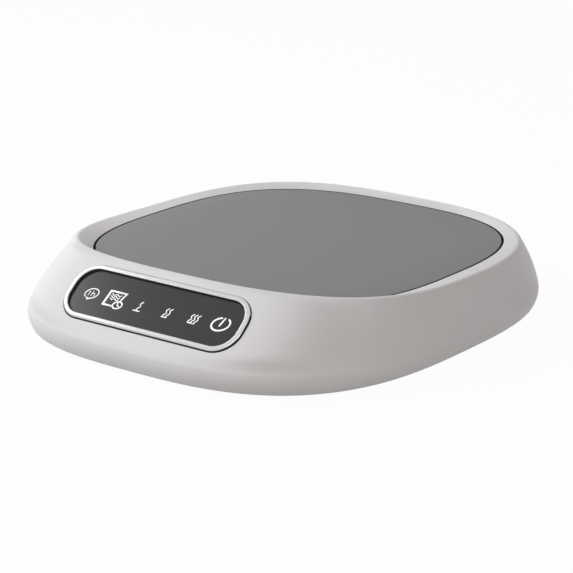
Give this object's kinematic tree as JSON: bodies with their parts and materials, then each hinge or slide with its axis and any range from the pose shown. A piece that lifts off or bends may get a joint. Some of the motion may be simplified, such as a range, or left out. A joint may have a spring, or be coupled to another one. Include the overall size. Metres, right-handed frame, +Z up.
{
  "type": "mug warmer",
  "caption": "Low squircle electric mug warmer: sprung flat heating plate in a raised rim, weight switch below it, and a sloped touch panel with printed signs on the front brow.",
  "frame": {"origin": "On the table, under the middle of the body", "axes": "+Z up, the touch panel faces -Y, +X to the right when looking at the plate from the front"},
  "size_m": [0.1194, 0.1332, 0.023],
  "materials": {
    "body_white": "smooth satin white moulding",
    "base_grey": "fine matte grey moulding",
    "rubber_black": "matte black rubber",
    "screw_steel": "plain zinc-plated steel",
    "plate_grey": "flat grey coated aluminium",
    "silicone_red": "matte red silicone",
    "carrier_dark": "dark heat-proof plastic",
    "mica": "layered mica, slight sheen",
    "ribbon_steel": "etched resistance foil",
    "insulation_white": "fibre felt",
    "sheet_aluminium": "plain rolled sheet",
    "black_plastic": "matte black moulding",
    "black_gloss": "glossy black epoxy",
    "bezel_chrome": "bright plated ring",
    "panel_dark": "dark tinted glossy panel",
    "diffuser_white": "translucent white moulding",
    "board_green": "green solder mask",
    "lamp_cream": "clear lens on white body",
    "cable_grey": "ribbed flat cable",
    "connector_cream": "cream moulding",
    "plunger_red": "smooth red moulding",
    "sleeve_blue": "shrink sleeve",
    "capacitor_yellow": "yellow moulded box",
    "fuse_brown": "brown moulded case",
    "terminal_green": "green moulding",
    "lead_white": "glass-fibre sleeve",
    "lead_black": "soft insulation"
  },
  "bodies": {
    "base": {"upper_housing": "body_white", "base_cover": "base_grey", "rubber_feet": "rubber_black", "housing_screws": "screw_steel", "guide_pins": "screw_steel", "plate_springs": "screw_steel", "panel_bezel": "bezel_chrome", "panel_gasket": "rubber_black", "panel_glass": "panel_dark", "light_frame": "diffuser_white", "touch_board": "board_green", "touch_board_screws": "screw_steel", "indicator_leds": "lamp_cream", "panel_cable": "cable_grey", "cable_connector": "connector_cream", "main_board": "board_green", "main_board_screws": "screw_steel", "weight_switch": "black_plastic", "triac": "black_plastic", "supply_capacitor": "sleeve_blue", "filter_capacitor": "capacitor_yellow", "filter_choke": "black_gloss", "mains_fuse": "fuse_brown", "terminal_block": "terminal_green", "buzzer": "black_plastic", "controller_chip": "black_plastic", "heater_leads": "lead_white", "sensor_leads": "lead_black", "cord_gland": "rubber_black"},
    "plate": {"heating_plate": "plate_grey", "plate_seal": "silicone_red", "plate_carrier": "carrier_dark", "mica_sheet_top": "mica", "heater_ribbon": "ribbon_steel", "mica_sheet_bottom": "mica", "insulation_pad": "insulation_white", "pressure_plate": "sheet_aluminium", "pressure_plate_screws": "screw_steel", "thermostat": "black_plastic", "thermal_fuse": "sheet_aluminium", "temperature_sensor": "black_gloss"},
    "plunger": {"switch_plunger": "plunger_red"}
  },
  "joints": [
    {"name": "plate_travel", "type": "slide", "parent": "base", "child": "plate", "axis": [0, 0, 1], "range_m": [-0.0008, 0], "stiffness_N_per_m": 1200, "springref_m": 0.003, "deforming": ["plate_springs", "heater_leads", "sensor_leads"]},
    {"name": "plunger_travel", "type": "slide", "parent": "base", "child": "plunger", "axis": [0, 0, 1], "range_m": [-0.0008, 0]}
  ],
  "couplings": [
    {"joint": "plunger_travel", "follows": "plate_travel", "ratio": 1}
  ]
}
